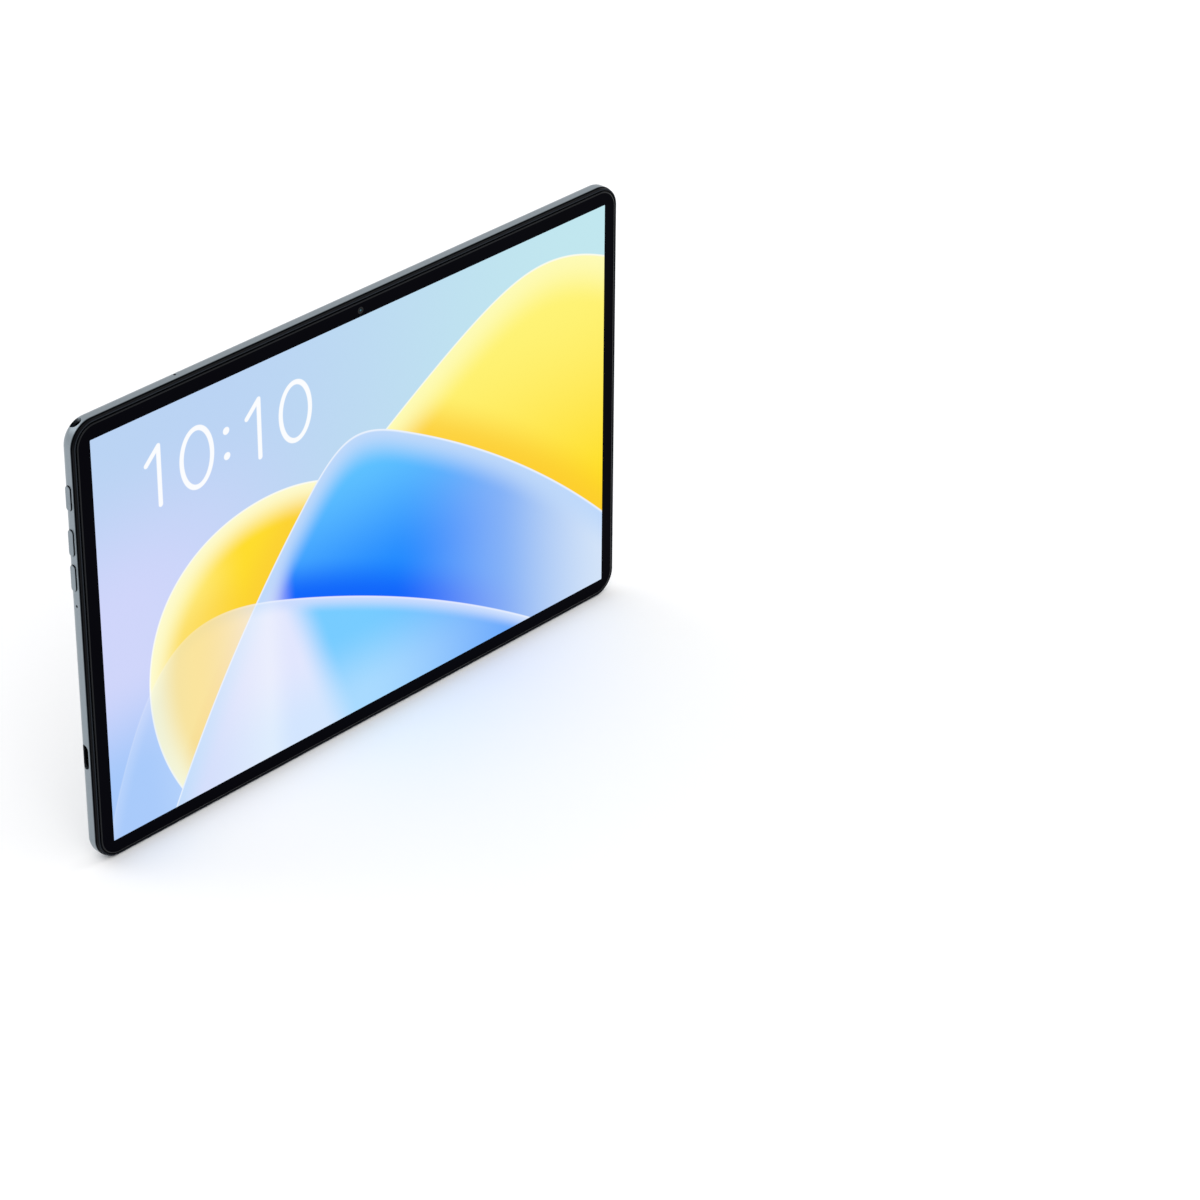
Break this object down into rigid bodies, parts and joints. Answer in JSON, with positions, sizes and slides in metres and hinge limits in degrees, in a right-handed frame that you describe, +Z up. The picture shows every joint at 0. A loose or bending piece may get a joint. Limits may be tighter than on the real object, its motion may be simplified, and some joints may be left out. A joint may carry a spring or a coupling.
{
  "type": "tablet computer",
  "caption": "Slim landscape tablet with an aluminium rear cover, glass front in a black frame, a gloss camera island, side keys, a USB-C port and a headphone jack.",
  "frame": {"origin": "middle of the flat band of the bottom long edge, on which the tablet stands", "axes": "+X along the width, away from the key edge; +Y through the thickness, from the display to the cameras; +Z up the height"},
  "size_m": [0.2407, 0.0084, 0.159],
  "materials": {
    "cover_metal": "fine bead-blasted anodised, satin grey-blue",
    "key_metal": "anodised, satin grey-blue",
    "frame_plastic": "moulded, satin black",
    "front_glass": "polished, black printed border",
    "lit_display": "liquid crystal display, lit",
    "display_film": "clear film",
    "light_guide": "clear moulded",
    "adhesive": "foam tape",
    "steel_sheet": "pressed sheet",
    "alloy_sheet": "stamped sheet",
    "cell_pouch": "laminated foil pouch",
    "circuit_board": "solder mask",
    "chip": "moulded epoxy",
    "flex_film": "polyimide film",
    "moulding_black": "moulded",
    "speaker_mesh": "fine woven dust mesh",
    "island_gloss": "polished black",
    "ring_metal": "turned and polished",
    "lens_glass": "coated, dark blue",
    "diffuser": "milky, warm white"
  },
  "bodies": {
    "tablet": {"rear_cover": "cover_metal", "mid_frame": "frame_plastic", "cover_glass": "front_glass", "display_adhesive": "adhesive", "touch_sensor": "display_film", "lcd_panel": "lit_display", "light_guide": "light_guide", "backlight_tray": "steel_sheet", "mid_plate": "alloy_sheet", "display_flex": "flex_film", "battery_cell_1": "cell_pouch", "battery_cell_2": "cell_pouch", "battery_board": "circuit_board", "battery_flex": "flex_film", "main_board": "circuit_board", "shield_can_processor": "steel_sheet", "shield_can_radio": "steel_sheet", "processor": "chip", "memory_chip": "chip", "power_chip": "chip", "radio_chip": "chip", "usb_port_shell": "steel_sheet", "usb_port_tongue": "moulding_black", "headphone_jack": "moulding_black", "speaker_left": "moulding_black", "speaker_mesh_left": "speaker_mesh", "speaker_right": "moulding_black", "speaker_mesh_right": "speaker_mesh", "microphone_top": "moulding_black", "microphone_side": "moulding_black", "power_switch": "steel_sheet", "volume_up_switch": "steel_sheet", "volume_down_switch": "steel_sheet", "key_flex": "flex_film", "key_bracket": "steel_sheet", "front_camera": "moulding_black", "rear_camera": "moulding_black", "camera_island": "island_gloss", "camera_ring": "ring_metal", "camera_window": "lens_glass", "flash_ring": "ring_metal", "flash_window": "lens_glass", "flash_led": "diffuser", "flash_diffuser": "diffuser", "antenna_cable": "moulding_black", "wifi_antenna": "flex_film", "board_screw_1": "steel_sheet", "board_screw_2": "steel_sheet", "board_screw_3": "steel_sheet", "board_screw_4": "steel_sheet", "board_screw_5": "steel_sheet", "board_screw_6": "steel_sheet", "speaker_screw_1": "steel_sheet", "speaker_screw_2": "steel_sheet", "speaker_screw_3": "steel_sheet", "speaker_screw_4": "steel_sheet"},
    "power_key": {"power_button": "key_metal"},
    "volume_up_key": {"volume_up_button": "key_metal"},
    "volume_down_key": {"volume_down_button": "key_metal"}
  },
  "joints": [
    {"name": "power_press", "type": "slide", "parent": "tablet", "child": "power_key", "axis": [1, 0, 0], "range_m": [0, 0.0003], "stiffness_N_per_m": 2500},
    {"name": "volume_up_press", "type": "slide", "parent": "tablet", "child": "volume_up_key", "axis": [1, 0, 0], "range_m": [0, 0.0003], "stiffness_N_per_m": 2500},
    {"name": "volume_down_press", "type": "slide", "parent": "tablet", "child": "volume_down_key", "axis": [1, 0, 0], "range_m": [0, 0.0003], "stiffness_N_per_m": 2500}
  ]
}
